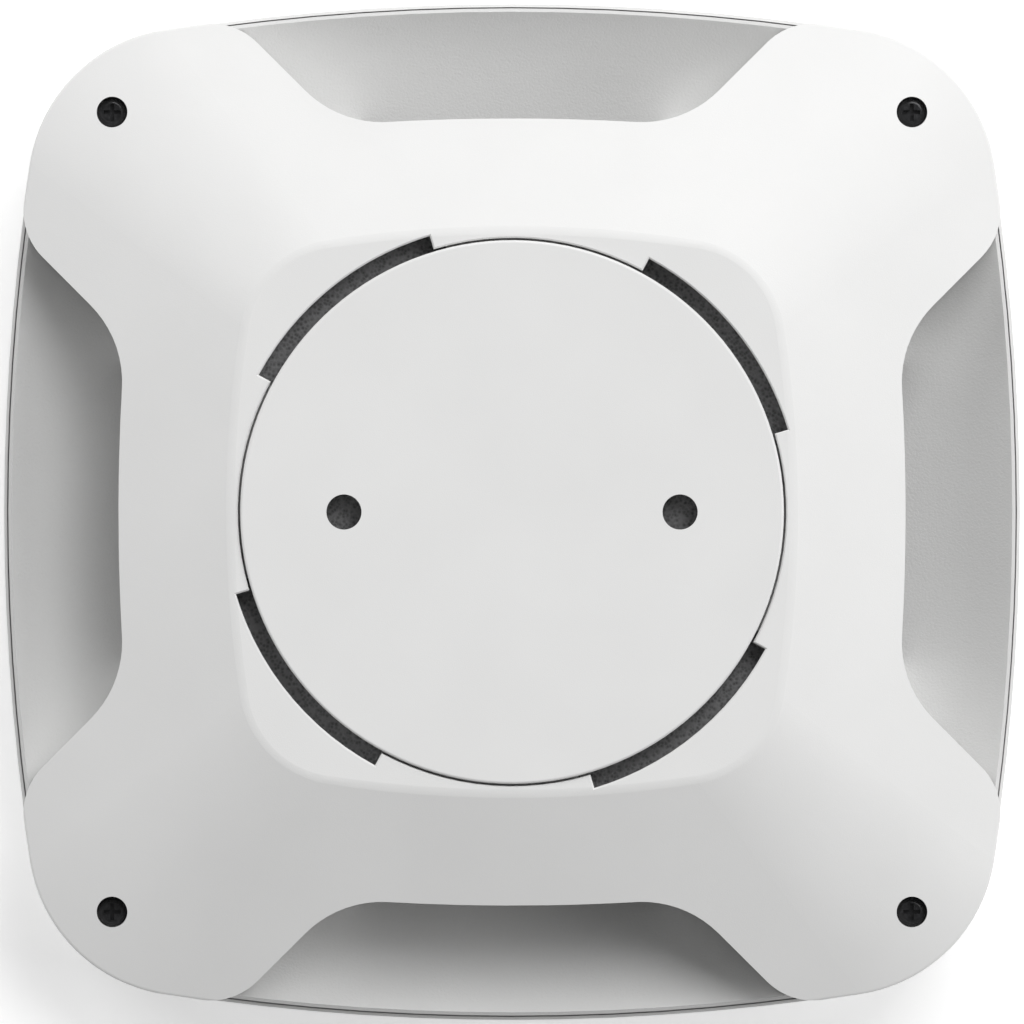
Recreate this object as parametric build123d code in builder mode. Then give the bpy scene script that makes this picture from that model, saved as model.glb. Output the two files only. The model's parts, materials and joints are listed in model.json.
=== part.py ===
from build123d import *

import os
from math import asin, degrees, hypot, sqrt

# Ceiling smoke detector, in millimetres. The ceiling is the plane z = 0, +Z points up into it,
# and the detector hangs below. The mounting bracket lies on the ceiling, the rear cover, the
# middle frame and the front cover follow it downwards. Four legs run along the diagonals.

# Casing outline: a square with bowed sides and round corners, as (half width, side radius,
# corner radius). An inset takes the same amount from all three.
OUTLINE = (66.0, 294.0, 20.7)
PLATEAU = (36.4, 158.0, 12.8)
BODY = (50.9, 285.0, 15.0)
SIDE_BOW = OUTLINE[1] - OUTLINE[0]
DEPTH = 31.0
WALL = 2.0
FIT = 0.1

# Legs of the rear cover
LEG_WIDTH = 39.3
LEG_ROOT_R = 14.0
LEG_END_R = 8.5
LEG_ANGLE = 45.0
BATTERY_ANGLES = (45.0, 225.0)
SOUNDER_ANGLE = 135.0
RADIO_ANGLE = 315.0

# Levels of the rear cover
PLATEAU_Z = -0.5
SHOULDER_Z = -12.0
COVER_FOOT_Z = -17.4
COVER_LIP_Z = -19.3
COVER_LIP_T = 0.5
SHOULDER_EDGE_R = 0.45
PLATEAU_EDGE_R = 3.0
ROOF_T = 2.0
ROOF_DROP = 2.145
ROOF_SLOPE = (PLATEAU_Z - SHOULDER_Z) / (OUTLINE[0] - PLATEAU[0])
WINDOW_TOP_Z = -13.0
WINDOW_WIDTH = 39.0

# Bracket and bayonet
BRACKET_R = 35.1
BRACKET_T = 2.2
BRACKET_EDGE_R = 0.35
BRACKET_RIB_Z = -3.4
BRACKET_RIB_RADII = (12.0, 29.2)
BRACKET_RIB_T = 1.2
SCREW_PAD_R = 4.6
SCREW_SPACING = 43.4
SCREW_HOLE_R = 2.275
RECESS_R = 35.4
RECESS_LIP_Z = -2.9
RECESS_FLOOR_Z = -5.8
CUP_UNDER_Z = -7.2
CUP_R = 39.0
CHANNEL_R = 37.4
SLOT_R = 37.2
SLOT_START = 16.6
SLOT_ARC = 45.0
HOOK_START = -25.9
HOOK_ARC = 40.0
HOOK_INNER_R = 33.0
HOOK_LEG_R = 34.9
HOOK_TAB_R = 36.9
HOOK_TOP_Z = -3.2
HOOK_FOOT_Z = -4.7
STOP_START = -28.0
STOP_ARC = 1.6
STOP_GAP = 0.6
LIP_CHAMFER = 0.2
PAD_T = 0.8
PAD_R = 37.2

# Dish of the middle frame, which the smoke flows over
DISH_FLOOR_Z = -22.8
DISH_FLAT = 49.0
CREST = 64.95
CREST_Z = -17.5
BAND_INSET = 0.6
BAND_FOOT_Z = -17.85
FRAME_SEAT_Z = -20.9
FRAME_UNDER_Z = -24.3
FRAME_INSET = 3.4
RIM_HOLLOW_INSETS = (4.9, 7.9)
RIM_HOLLOW_DEPTH = 1.5
PASSAGE_GAP = 0.3

# Front cover
FRONT_RIM_Z = -19.5
FRONT_STEP_Z = -21.0
FRONT_RIM_T = 0.4
DOME_R = 900.0
FRONT_EDGE_R = 5.5
BUTTON_OPENING_R = 15.5
SOUND_SLOT_COUNT = 5
SOUND_SLOT_PITCH = 3.2
SOUND_SLOT_LENGTH = 14.0
SOUND_SLOT_WIDTH = 1.4

# Corner screws and the bosses that they hold together
CORNER_PITCH = 103.6
COUNTERBORE_R = 2.0
HEAD_R = 1.9
HEAD_TOP_Z = -11.2
HEAD_SEAT_Z = -13.0
HEAD_EDGE_R = 0.8
CROSS_LENGTH = 2.2
CROSS_WIDTH = 0.5
CROSS_DEPTH = 0.9
SHANK_R = 1.2
SHANK_TIP = 0.5
SHANK_END_Z = -25.0
REAR_BOSS_R = 3.4
REAR_BOSS_Z = -16.3
FRONT_BOSS_R = 2.9
FRONT_BOSS_Z = -16.5

# Main board and the deck that keeps the air stream away from it
BOARD = (46.0, 280.0, 14.0)
BOARD_TOP_Z = -9.4
BOARD_UNDER_Z = -10.8
BOARD_SCREW_R = 42.3
BOARD_BOSS_R = 3.0
BOARD_HOLE_R = 1.4
BOARD_HEAD_R = 2.2
BOARD_HEAD_TOP_Z = -12.1
BOARD_SHANK_R = 1.05
BOARD_SHANK_L = 4.5
BOARD_PILOT_R = 1.15
BOARD_PILOT_DEPTH = 3.4
BOARD_CROSS_LENGTH = 2.6
BOARD_CROSS_DEPTH = 0.7
DECK_TOP_Z = -12.3
DECK_UNDER_Z = -13.5
DECK_INSET = 2.2
LEG_CUT_D = 62.5
LEG_CUT_DEPTH = 40.6
LEG_CUT_WIDTH = 35.6

# Parts on the main board
MCU_PLACE = (15.0, 6.0)
MCU_SIZE = 10.0
MCU_T = 1.4
MCU_PIN_COUNT = 11
MCU_PIN_PITCH = 0.8
MCU_PIN_SPAN = 11.4
MCU_PIN_W = 0.35
MCU_PIN_T = 0.4
CAPACITOR_D = 47.6
CAPACITOR_SPACING = 24.0
CAPACITOR_R = 3.15
CAPACITOR_L = 7.0
CAPACITOR_EDGE_R = 0.5
RADIO_D = 49.5
RADIO_BOARD = (11.0, 15.0)
RADIO_BOARD_T = 0.8
RADIO_CAN = (9.0, 11.0)
RADIO_CAN_T = 1.8
ANTENNA_D = 58.5
ANTENNA_DROP = 2.0
ANTENNA_R = 1.6
ANTENNA_BORE_R = 1.0
ANTENNA_L = 18.0
CELL_D = 53.2
CELL_R = 8.0
CELL_TOP_DROP = 0.9
CELL_T = 2.0
CELL_EDGE_R = 0.3
HOLDER_R = 9.2
HOLDER_BORE_R = 8.2
HOLDER_T = 3.4
HOLDER_FLOOR_T = 0.8

# Batteries lie across two of the legs
BATTERY_D = 52.1
BATTERY_R = 7.8
BATTERY_L = 27.0
BATTERY_Z = -16.5
BATTERY_EDGE_R = 0.6
TERMINAL_R = 3.2
TERMINAL_L = 0.8
BAY_START = 42.5
BAY_HALF = 17.4
BAY_DEPTH = 19.2
BAY_WALL = 1.2
BAY_END_WALL = 1.0
BAY_TOP_Z = -13.6
BAY_FLOOR_Z = -24.6
BAY_UNDER_Z = -25.8
CONTACT_T = 0.4
CONTACT_OFFSET = 16.15
PLATE_Z = -16.75
PLATE_SIZE = (8.0, 9.5)
STRIP_PLACE = (46.5, -11.8)
STRIP_SIZE = (14.0, 0.8)
TAIL_PLACE = (39.9, -11.5)
TAIL_SIZE = (0.8, 1.4)
SPRING_R = 3.0
SPRING_WIRE_R = 0.3
SPRING_PITCH = 0.85
SPRING_L = 1.7
SPRING_FOOT = 2.1

# Smoke chamber
CHAMBER_R = 24.0
CHAMBER_TOP_Z = -13.6
CHAMBER_PLATE_Z = -14.8
VANE_FOOT_Z = -21.9
VANE_STEP = 15
VANE_RADII = (19.7, 22.0)
VANE_LENGTH = 3.8
VANE_T = 0.9
VANE_TURN = 40
OPTIC_Z = -18.3
OPTIC_R = 20.0
EMITTER_ANGLE = 0
RECEIVER_ANGLE = 135
OPTIC_ANGLES = (EMITTER_ANGLE, RECEIVER_ANGLE)
OPTIC_BLOCK = (7.0, 9.0)
OPTIC_BORE_R = 2.65
OPTIC_BODY_R = 2.5
OPTIC_TIP_D = 17.5
OPTIC_FLANGE_D = 23.8
OPTIC_FLANGE_R = 2.8
OPTIC_FLANGE_T = 1.2
LEAD_CIRCLE = 24.7
LEAD_PITCH = 2.54
LEAD_SIZE = 0.5
LEAD_SLOT = (2.0, 4.4)
CAP_CHAMFER = 0.4
MESH_R = 26.0
MESH_T = 0.35
MESH_COUNT = 60
MESH_GAP = 1.8
MESH_EDGE = 0.8
THERMISTOR_PLACE = (43.5, 9.0)
THERMISTOR_Z = -17.0
BEAD_R = 1.2
BEAD_LEAD_R = 0.25
BEAD_LEAD_PITCH = 1.2
BEAD_HOLE_R = 1.6

# Sounder
SOUNDER_D = 56.8
SOUNDER_R = 12.6
SOUNDER_TOP_Z = -15.6
SOUNDER_UNDER_Z = -25.9
SOUNDER_FLANGE_Z = -22.3
SOUNDER_FLANGE_W = 0.4
SOUNDER_FLANGE_T = 1.0
SOUNDER_FLOOR_T = 1.2
RESONATOR_R = 10.4
LEDGE_Z = -18.0
LEDGE_R = 11.4
PORT_R = 3.5
DISC_R = 11.3
DISC_T = 0.3
CERAMIC_R = 7.5
CERAMIC_T = 0.25
GASKET_R = 7.5
GASKET_BORE_R = 4.5
GASKET_T = 0.6

# Link between the two boards
LINK_D = 31.0
LINK_LENGTH = 14.0
PIN_PITCH = 2.0
PIN_COUNT = 6
PIN_SIZE = 0.64
PIN_HOLE = 0.7
HEADER_W = 3.4
HEADER_T = 2.4
LINK_SLOT = (4.0, 14.8)
LINK_TOWER = (6.4, 17.2)

# Front board and test button
FRONT_BOARD_TOP_Z = -25.4
FRONT_BOARD_UNDER_Z = -26.2
FRONT_BOARD_R = 22.0
PEG_R = 1.2
PEG_SHOULDER_R = 2.4
PEG_CIRCLE = 18.0
TONGUE_D = 25.0
TONGUE = (20.0, 16.0)
LED_CIRCLE = 16.0
LED_SIZE = (0.9, 1.8)
LED_T = 0.7
SWITCH_SIZE = 6.2
TEST_SWITCH_T = 1.1
TEST_SWITCH_BORE_R = 1.75
PLUNGER_R = 1.6
PLUNGER_FOOT_Z = -28.1
BUTTON_R = 13.0
BUTTON_TOP_Z = -27.6
BUTTON_EDGE_R = 0.3
BUTTON_FLANGE_R = 14.6
BUTTON_FLANGE_Z = -28.2
BUTTON_BORE_R = 11.5
BUTTON_BORE_Z = -29.2
NUB_R = 2.2
NUB_FOOT_Z = -29.3
LIGHT_RING_INNER_R = 13.35
LIGHT_RING_OUTER_R = 15.3
LIGHT_RING_TOP_Z = -28.6
LIGHT_FLANGE_R = 16.7
LIGHT_FLANGE_Z = -28.8
LIGHT_FLANGE_T = 0.5

# Controls in the recess, under the bracket
CONTROL_Y = 20.0
PAD_OPENING_R = 4.0
TAMPER_HOLE_R = 1.7
POWER_HOLE_R = 2.8
CONTROL_SWITCH_T = 1.2
CONTROL_BORE_R = 1.55
CONTROL_BORE_FLOOR = 0.3
STEM_R = 1.4
TAMPER_TOP_Z = -2.3
TAMPER_HEAD_R = 2.7
TAMPER_HEAD_T = 0.8
TAMPER_STEM_L = 5.3
TAMPER_SPRING_R = 2.1
TAMPER_SPRING_L = 2.2
TAMPER_SPRING_PITCH = 0.73
TAMPER_WIRE_R = 0.17
TAMPER_SPRING_LIFT = 0.25
POWER_UNDER_Z = -7.3
POWER_CAP_R = 2.5
POWER_CAP_L = 2.7
POWER_EDGE_R = 0.5
POWER_FLANGE_R = 3.4
POWER_FLANGE_T = 0.4
POWER_STEM_L = 0.75


def from_centre(vertex):
    """How far a vertex is from the axis of the detector."""
    return hypot(vertex.X, vertex.Y)


def squircle(half, side_r, corner_r, inset=0.0):
    """A square outline with bowed sides and round corners that meet smoothly."""
    bow = side_r - half
    reach = side_r - corner_r
    corner = (sqrt(2 * reach**2 - bow**2) - bow) / 2
    turn = degrees(asin(corner / reach))
    with BuildSketch() as outline:
        with BuildLine():
            for angle in (0, 90, 180, 270):
                side_centre = Vector(-bow, 0).rotate(Axis.Z, angle)
                corner_centre = Vector(corner, corner).rotate(Axis.Z, angle)
                CenterArc(side_centre, side_r - inset, angle - turn, 2 * turn)
                CenterArc(corner_centre, corner_r - inset, angle + turn, 90 - 2 * turn)
        make_face()
    return outline.sketch


def ring_sector(inner_r, outer_r, start, sweep_angle):
    """A piece of a flat ring."""
    with BuildSketch() as sector:
        with BuildLine():
            inner = CenterArc((0, 0), inner_r, start, sweep_angle)
            outer = CenterArc((0, 0), outer_r, start, sweep_angle)
            Line(inner @ 0, outer @ 0)
            Line(inner @ 1, outer @ 1)
        make_face()
    return sector.sketch


def cover_plan(inset=0.0):
    """The rear cover from above: a bowed square body with four straight diagonal legs."""
    with BuildSketch() as plan:
        for angle in (LEG_ANGLE, -LEG_ANGLE):
            Rectangle(4 * OUTLINE[0], LEG_WIDTH - 2 * inset, rotation=angle)
        add(squircle(*OUTLINE, inset), mode=Mode.INTERSECT)
        leg_ends = plan.vertices().sort_by(from_centre)[4:12]
        fillet(leg_ends, LEG_END_R - inset)
        add(squircle(*BODY, inset))
        leg_roots = plan.vertices().sort_by(from_centre)[:8]
        fillet(leg_roots, LEG_ROOT_R + inset)
    return plan.sketch


def dish_space(lift=0.0):
    """The space over the dish: one concave profile swept along each bowed side, in common."""
    inner_end = SIDE_BOW - 80
    outer_end = SIDE_BOW + 70
    half_sweep = 25
    with BuildPart() as space:
        for angle in (0, 90, 180, 270):
            centre = Vector(-SIDE_BOW, 0).rotate(Axis.Z, angle)
            start_dir = Vector(1, 0).rotate(Axis.Z, angle - half_sweep)
            profile_plane = Plane(centre, x_dir=start_dir, z_dir=start_dir.cross(Vector(0, 0, 1)))
            with BuildSketch(profile_plane) as profile:
                with BuildLine():
                    floor_end = (SIDE_BOW + DISH_FLAT, DISH_FLOOR_Z + lift)
                    crest = (SIDE_BOW + CREST, CREST_Z + lift)
                    Line((inner_end, DISH_FLOOR_Z + lift), floor_end)
                    TangentArc(floor_end, crest, tangent=(1, 0))
                    Polyline(
                        crest,
                        (outer_end, CREST_Z + lift),
                        (outer_end, 0),
                        (inner_end, 0),
                        (inner_end, DISH_FLOOR_Z + lift),
                    )
                make_face()
            revolve(
                profile.sketch,
                axis=Axis(centre, (0, 0, 1)),
                revolution_arc=2 * half_sweep,
                mode=Mode.ADD if angle == 0 else Mode.INTERSECT,
            )
    return space.part


SOUNDER_CENTRE = Vector(SOUNDER_D, 0).rotate(Axis.Z, SOUNDER_ANGLE)

os.makedirs("parts", exist_ok=True)

# ---------------------------------------------------------------- mounting bracket
with BuildPart() as mounting_bracket:
    with BuildSketch(Plane.XY.offset(-BRACKET_T)):
        Circle(BRACKET_R)
    extrude(amount=BRACKET_T)
    fillet(mounting_bracket.edges().group_by(Axis.Z)[-1], BRACKET_EDGE_R)
    # stiffening rings and pads round the screw holes, on the hidden side
    with BuildSketch(Plane.XY.offset(BRACKET_RIB_Z)):
        for radius in BRACKET_RIB_RADII:
            Circle(radius)
            Circle(radius - BRACKET_RIB_T, mode=Mode.SUBTRACT)
    extrude(amount=-BRACKET_T - BRACKET_RIB_Z)
    with BuildSketch(Plane.XY.offset(BRACKET_RIB_Z)):
        with GridLocations(SCREW_SPACING, 0, 2, 1):
            Circle(SCREW_PAD_R)
    extrude(amount=-BRACKET_T - BRACKET_RIB_Z)
    # four hooks: a curved leg with a tab that grips under the lip of the rear cover
    for quarter in range(4):
        start = HOOK_START + 90 * quarter
        with BuildSketch(Plane.XY.offset(HOOK_FOOT_Z)):
            add(ring_sector(HOOK_INNER_R, HOOK_LEG_R, start, HOOK_ARC))
        extrude(amount=-BRACKET_T - HOOK_FOOT_Z)
        with BuildSketch(Plane.XY.offset(HOOK_FOOT_Z)):
            add(ring_sector(HOOK_INNER_R, HOOK_TAB_R, start, HOOK_ARC))
        extrude(amount=HOOK_TOP_Z - HOOK_FOOT_Z)
    with GridLocations(SCREW_SPACING, 0, 2, 1):
        Hole(SCREW_HOLE_R)
mounting_bracket.part.label = "mounting_bracket"
export_step(mounting_bracket.part, "parts/mounting_bracket.step")

# ---------------------------------------------------------------- rear cover
# The hollow under the roof, with the cup of the recess left standing in it
with BuildPart() as roof_hollow:
    roof_inset = (ROOF_DROP - ROOF_T) / ROOF_SLOPE
    with BuildSketch(Plane.XY.offset(PLATEAU_Z - ROOF_T)):
        add(squircle(*PLATEAU, roof_inset))
    wall_top_z = PLATEAU_Z - ROOF_DROP - ROOF_SLOPE * (OUTLINE[0] - WALL - PLATEAU[0])
    with BuildSketch(Plane.XY.offset(wall_top_z)):
        add(squircle(*OUTLINE, WALL))
    loft(ruled=True)
    with BuildSketch(Plane.XY.offset(wall_top_z)):
        add(squircle(*OUTLINE, WALL))
    extrude(amount=DISH_FLOOR_Z - 1 - wall_top_z)
    with BuildSketch(Plane.XY.offset(DISH_FLOOR_Z - 2)):
        add(cover_plan(WALL))
    extrude(amount=-DISH_FLOOR_Z + 2, mode=Mode.INTERSECT)
    with BuildSketch(Plane.XY.offset(CUP_UNDER_Z)):
        Circle(CUP_R)
    extrude(amount=-CUP_UNDER_Z, mode=Mode.SUBTRACT)
    # bosses for the board screws and the corner screws
    with BuildSketch(Plane.XY.offset(BOARD_TOP_Z)):
        with PolarLocations(BOARD_SCREW_R, 4):
            Circle(BOARD_BOSS_R)
    extrude(amount=-BOARD_TOP_Z, mode=Mode.SUBTRACT)
    with BuildSketch(Plane.XY.offset(REAR_BOSS_Z)):
        with GridLocations(CORNER_PITCH, CORNER_PITCH, 2, 2):
            Circle(REAR_BOSS_R)
    extrude(amount=-REAR_BOSS_Z, mode=Mode.SUBTRACT)

# Walls along the legs and the body, which reach down to the dish
with BuildPart() as skirts:
    with BuildSketch(Plane.XY.offset(DISH_FLOOR_Z)):
        add(cover_plan())
        add(cover_plan(WALL), mode=Mode.SUBTRACT)
        add(squircle(*OUTLINE, WALL), mode=Mode.INTERSECT)
    extrude(amount=COVER_FOOT_Z - DISH_FLOOR_Z + 1)
    add(dish_space(FIT), mode=Mode.INTERSECT)

with BuildPart() as rear_cover:
    with BuildSketch(Plane.XY.offset(PLATEAU_Z)):
        add(squircle(*PLATEAU))
    with BuildSketch(Plane.XY.offset(SHOULDER_Z)):
        add(squircle(*OUTLINE))
    loft(ruled=True)
    with BuildSketch(Plane.XY.offset(SHOULDER_Z)):
        add(squircle(*OUTLINE))
    extrude(amount=COVER_FOOT_Z - SHOULDER_Z)
    shoulder = rear_cover.edges().filter_by_position(Axis.Z, SHOULDER_Z - FIT, SHOULDER_Z + FIT)
    fillet(shoulder, SHOULDER_EDGE_R)
    fillet(rear_cover.edges().group_by(Axis.Z)[-1], PLATEAU_EDGE_R)
    with BuildSketch(Plane.XY.offset(COVER_FOOT_Z)):
        add(squircle(*OUTLINE))
        add(squircle(*OUTLINE, COVER_LIP_T), mode=Mode.SUBTRACT)
    extrude(amount=COVER_LIP_Z - COVER_FOOT_Z)
    with BuildSketch(Plane.XY.offset(COVER_LIP_Z)):
        add(cover_plan())
    extrude(amount=-COVER_LIP_Z, mode=Mode.INTERSECT)
    add(roof_hollow.part, mode=Mode.SUBTRACT)
    add(skirts.part)
    # smoke inlets, one through each side
    with BuildSketch(Plane.XY.offset(DISH_FLOOR_Z - 1)):
        with PolarLocations(BODY[0], 4):
            Rectangle(3 * WALL, WINDOW_WIDTH)
    extrude(amount=WINDOW_TOP_Z - DISH_FLOOR_Z + 1, mode=Mode.SUBTRACT)
    # recess for the bracket, with the channel that the hooks turn in
    with BuildSketch(Plane.XY.offset(RECESS_LIP_Z)):
        Circle(RECESS_R)
        for quarter in range(4):
            add(ring_sector(RECESS_R - 2, SLOT_R, SLOT_START + 90 * quarter, SLOT_ARC))
    extrude(amount=-RECESS_LIP_Z, mode=Mode.SUBTRACT)
    with BuildSketch(Plane.XY.offset(RECESS_FLOOR_Z)):
        Circle(CHANNEL_R)
        for quarter in range(4):
            start = STOP_START + 90 * quarter
            add(ring_sector(RECESS_R, CHANNEL_R + 1, start, STOP_ARC), mode=Mode.SUBTRACT)
    extrude(amount=RECESS_LIP_Z - RECESS_FLOOR_Z, mode=Mode.SUBTRACT)
    top_edges = rear_cover.edges().group_by(Axis.Z)[-1]
    chamfer(top_edges.filter_by(lambda edge: from_centre(edge @ 0) < SLOT_R + FIT), LIP_CHAMFER)
    # openings for the tamper plunger and the power button
    with Locations((0, CONTROL_Y, RECESS_FLOOR_Z)):
        Hole(TAMPER_HOLE_R, depth=WALL)
    with Locations((0, -CONTROL_Y, RECESS_FLOOR_Z)):
        Hole(POWER_HOLE_R, depth=WALL)
    # board screw holes from below, corner screw holes from above
    with BuildSketch(Plane.XY.offset(BOARD_TOP_Z)):
        with PolarLocations(BOARD_SCREW_R, 4):
            Circle(BOARD_PILOT_R)
    extrude(amount=BOARD_PILOT_DEPTH, mode=Mode.SUBTRACT)
    with Locations((0, 0, HEAD_SEAT_Z)):
        with GridLocations(CORNER_PITCH, CORNER_PITCH, 2, 2):
            Hole(SHANK_R + FIT, depth=HEAD_SEAT_Z - FRONT_BOSS_Z + 1)
    with BuildSketch(Plane.XY.offset(HEAD_SEAT_Z)):
        with GridLocations(CORNER_PITCH, CORNER_PITCH, 2, 2):
            Circle(COUNTERBORE_R)
    extrude(amount=-HEAD_SEAT_Z, mode=Mode.SUBTRACT)
rear_cover.part.label = "rear_cover"
export_step(rear_cover.part, "parts/rear_cover.step")


# ---------------------------------------------------------------- draught pad
# Foam over the floor of the recess and its channel, with openings for the two controls
with BuildPart() as draught_pad:
    with BuildSketch(Plane.XY.offset(RECESS_FLOOR_Z)):
        Circle(PAD_R)
        for quarter in range(4):
            start = STOP_START - STOP_GAP + 90 * quarter
            notch = ring_sector(RECESS_R - STOP_GAP, CHANNEL_R, start, STOP_ARC + 2 * STOP_GAP)
            add(notch, mode=Mode.SUBTRACT)
        with GridLocations(0, 2 * CONTROL_Y, 1, 2):
            Circle(PAD_OPENING_R, mode=Mode.SUBTRACT)
    extrude(amount=PAD_T)
draught_pad.part.label = "draught_pad"
export_step(draught_pad.part, "parts/draught_pad.step")

# ---------------------------------------------------------------- middle frame
with BuildPart() as middle_frame:
    with BuildSketch(Plane.XY.offset(BAND_FOOT_Z)):
        add(squircle(*OUTLINE, BAND_INSET))
    with BuildSketch(Plane.XY.offset(CREST_Z)):
        add(squircle(*OUTLINE, OUTLINE[0] - CREST))
    loft(ruled=True)
    with BuildSketch(Plane.XY.offset(FRAME_SEAT_Z)):
        add(squircle(*OUTLINE, BAND_INSET))
    extrude(amount=BAND_FOOT_Z - FRAME_SEAT_Z)
    with BuildSketch(Plane.XY.offset(FRAME_UNDER_Z)):
        add(squircle(*OUTLINE, FRAME_INSET))
    extrude(amount=FRAME_SEAT_Z - FRAME_UNDER_Z)
    add(dish_space(), mode=Mode.SUBTRACT)
    # hollow under the rim of each open side
    with BuildSketch(Plane.XY.offset(FRAME_UNDER_Z)):
        add(squircle(*OUTLINE, RIM_HOLLOW_INSETS[0]))
        add(squircle(*OUTLINE, RIM_HOLLOW_INSETS[1]), mode=Mode.SUBTRACT)
        for angle in (LEG_ANGLE, -LEG_ANGLE):
            Rectangle(4 * OUTLINE[0], LEG_WIDTH, rotation=angle, mode=Mode.SUBTRACT)
    extrude(amount=RIM_HOLLOW_DEPTH, mode=Mode.SUBTRACT)
    # a wall across the root of each leg shuts it off from the smoke
    with BuildSketch(Plane.XY.offset(DISH_FLOOR_Z - 0.5)):
        with PolarLocations(BAY_START + BAY_WALL / 2, 4, start_angle=LEG_ANGLE):
            Rectangle(BAY_WALL, 2 * BAY_HALF)
    extrude(amount=BAY_TOP_Z - DISH_FLOOR_Z + 0.5)
    # battery bays
    with BuildSketch(Plane.XY.offset(BAY_UNDER_Z)):
        with PolarLocations(BATTERY_D, 2, start_angle=LEG_ANGLE):
            Rectangle(BAY_DEPTH, 2 * BAY_HALF)
    extrude(amount=BAY_TOP_Z - BAY_UNDER_Z)
    with BuildSketch(Plane.XY.offset(BAY_FLOOR_Z)):
        with PolarLocations(BATTERY_D, 2, start_angle=LEG_ANGLE):
            Rectangle(BAY_DEPTH - 2 * BAY_WALL, 2 * (BAY_HALF - BAY_END_WALL))
    extrude(amount=-BAY_FLOOR_Z, mode=Mode.SUBTRACT)
    # tower round the pins that join the two boards
    with BuildSketch(Plane.XY.offset(FRAME_UNDER_Z)):
        with PolarLocations(LINK_D, 1, start_angle=RADIO_ANGLE):
            Rectangle(*LINK_TOWER)
    extrude(amount=BAY_TOP_Z - FRAME_UNDER_Z)
    with BuildSketch(Plane.XY.offset(FRAME_UNDER_Z)):
        with PolarLocations(LINK_D, 1, start_angle=RADIO_ANGLE):
            Rectangle(*LINK_SLOT)
        # seat of the sounder and the passages of the front bosses
        with PolarLocations(SOUNDER_D, 1, start_angle=SOUNDER_ANGLE):
            Circle(SOUNDER_R + 2 * FIT)
        with GridLocations(CORNER_PITCH, CORNER_PITCH, 2, 2):
            Circle(FRONT_BOSS_R + PASSAGE_GAP)
    extrude(amount=-FRAME_UNDER_Z, mode=Mode.SUBTRACT)
    # shouldered pegs that carry the front board
    with BuildSketch(Plane.XY.offset(FRONT_BOARD_TOP_Z)):
        with PolarLocations(PEG_CIRCLE, 4, start_angle=LEG_ANGLE):
            Circle(PEG_SHOULDER_R)
    extrude(amount=FRAME_UNDER_Z - FRONT_BOARD_TOP_Z)
    with BuildSketch(Plane.XY.offset(FRONT_BOARD_UNDER_Z - 0.5)):
        with PolarLocations(PEG_CIRCLE, 4, start_angle=LEG_ANGLE):
            Circle(PEG_R)
    extrude(amount=FRAME_UNDER_Z - FRONT_BOARD_UNDER_Z + 0.5)
middle_frame.part.label = "middle_frame"
export_step(middle_frame.part, "parts/middle_frame.step")

# ---------------------------------------------------------------- front cover
# The inside of the front cover, with the bosses left standing in it
with BuildPart() as front_hollow:
    with BuildSketch(Plane.XY.offset(FRONT_RIM_Z)):
        add(squircle(*OUTLINE, WALL))
    extrude(amount=-DEPTH - FRONT_RIM_Z)
    with Locations((0, 0, DOME_R - DEPTH)):
        Sphere(DOME_R - WALL, mode=Mode.INTERSECT)
    fillet(front_hollow.faces().sort_by(Axis.Z)[0].edges(), FRONT_EDGE_R - WALL)
    with BuildSketch(Plane.XY.offset(FRONT_BOSS_Z)):
        with GridLocations(CORNER_PITCH, CORNER_PITCH, 2, 2):
            Circle(FRONT_BOSS_R)
    extrude(amount=-DEPTH - FRONT_BOSS_Z, mode=Mode.SUBTRACT)

with BuildPart() as front_cover:
    with BuildSketch(Plane.XY.offset(FRONT_RIM_Z)):
        add(squircle(*OUTLINE))
    extrude(amount=-DEPTH - FRONT_RIM_Z)
    with Locations((0, 0, DOME_R - DEPTH)):
        Sphere(DOME_R, mode=Mode.INTERSECT)
    fillet(front_cover.faces().sort_by(Axis.Z)[0].edges(), FRONT_EDGE_R)
    add(front_hollow.part, mode=Mode.SUBTRACT)
    # bosses stand proud of the rim and pass through the middle frame
    with BuildSketch(Plane.XY.offset(FRONT_BOSS_Z)):
        with GridLocations(CORNER_PITCH, CORNER_PITCH, 2, 2):
            Circle(FRONT_BOSS_R)
    extrude(amount=FRONT_RIM_Z - FRONT_BOSS_Z - 1)
    # step that the edge of the middle frame sits on
    with BuildSketch(Plane.XY.offset(FRONT_STEP_Z)):
        add(squircle(*OUTLINE, FRONT_RIM_T))
        with GridLocations(CORNER_PITCH, CORNER_PITCH, 2, 2):
            Circle(FRONT_BOSS_R, mode=Mode.SUBTRACT)
    extrude(amount=FRONT_RIM_Z - FRONT_STEP_Z, mode=Mode.SUBTRACT)
    with Locations((0, 0, FRONT_BOSS_Z)):
        with GridLocations(CORNER_PITCH, CORNER_PITCH, 2, 2):
            Hole(SHANK_R + FIT / 2, depth=FRONT_BOSS_Z - SHANK_END_Z + SHANK_TIP)
    # opening for the light ring and the button, and slots over the sounder
    with BuildSketch(Plane.XY.offset(-DEPTH)):
        Circle(BUTTON_OPENING_R)
        with Locations(Location(SOUNDER_CENTRE, SOUNDER_ANGLE)):
            with GridLocations(SOUND_SLOT_PITCH, 0, SOUND_SLOT_COUNT, 1):
                SlotOverall(SOUND_SLOT_LENGTH, SOUND_SLOT_WIDTH, rotation=90)
    extrude(amount=5, mode=Mode.SUBTRACT)
front_cover.part.label = "front_cover"
export_step(front_cover.part, "parts/front_cover.step")

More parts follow.
